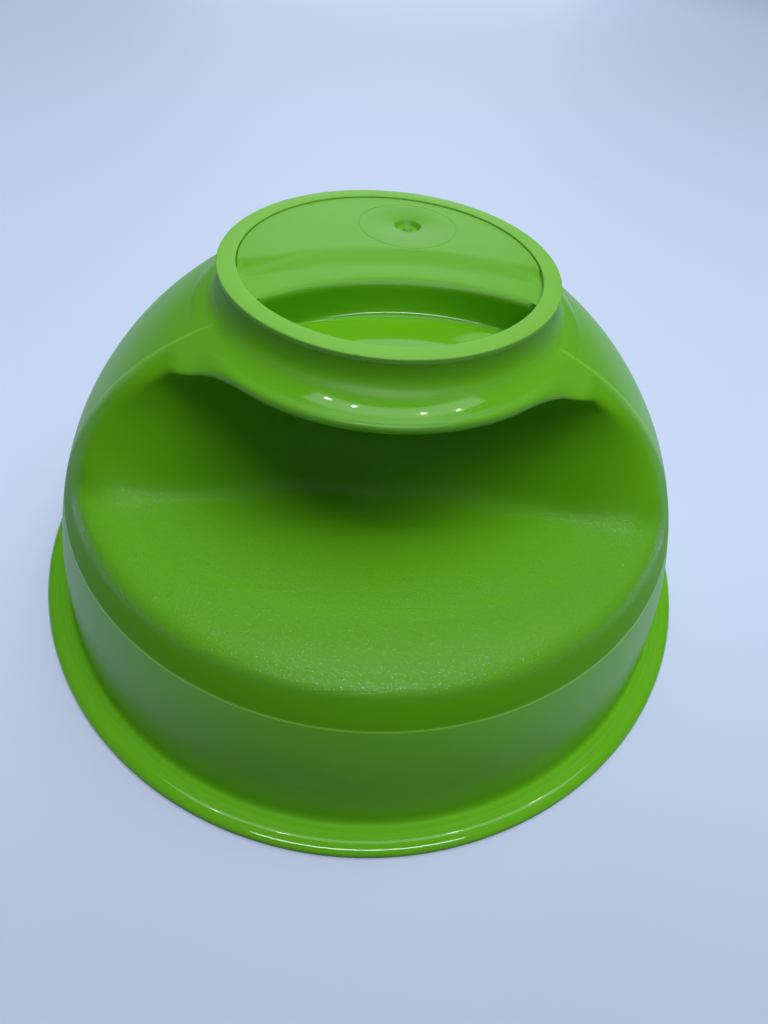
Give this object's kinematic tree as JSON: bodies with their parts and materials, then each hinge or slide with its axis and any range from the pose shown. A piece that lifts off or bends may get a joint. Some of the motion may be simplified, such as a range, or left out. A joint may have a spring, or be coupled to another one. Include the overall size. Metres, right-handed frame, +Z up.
{
  "type": "mixing bowl",
  "caption": "Round plastic mixing bowl, upside down on its rim, with a scooped finger grip under an overhanging lip and a non-slip ring on its foot.",
  "frame": {"origin": "centre of the rim circle, on the plane that the rim rests on", "axes": "+Z up from the rim to the foot, -Y towards the finger grip, X to the sides"},
  "size_m": [0.24, 0.24, 0.1073],
  "materials": {
    "bowl_plastic": "gloss, with a fine satin texture inside the grip",
    "ring_rubber": "matte"
  },
  "bodies": {
    "root": {"bowl_shell": "bowl_plastic", "foot_ring": "ring_rubber"}
  },
  "joints": []
}
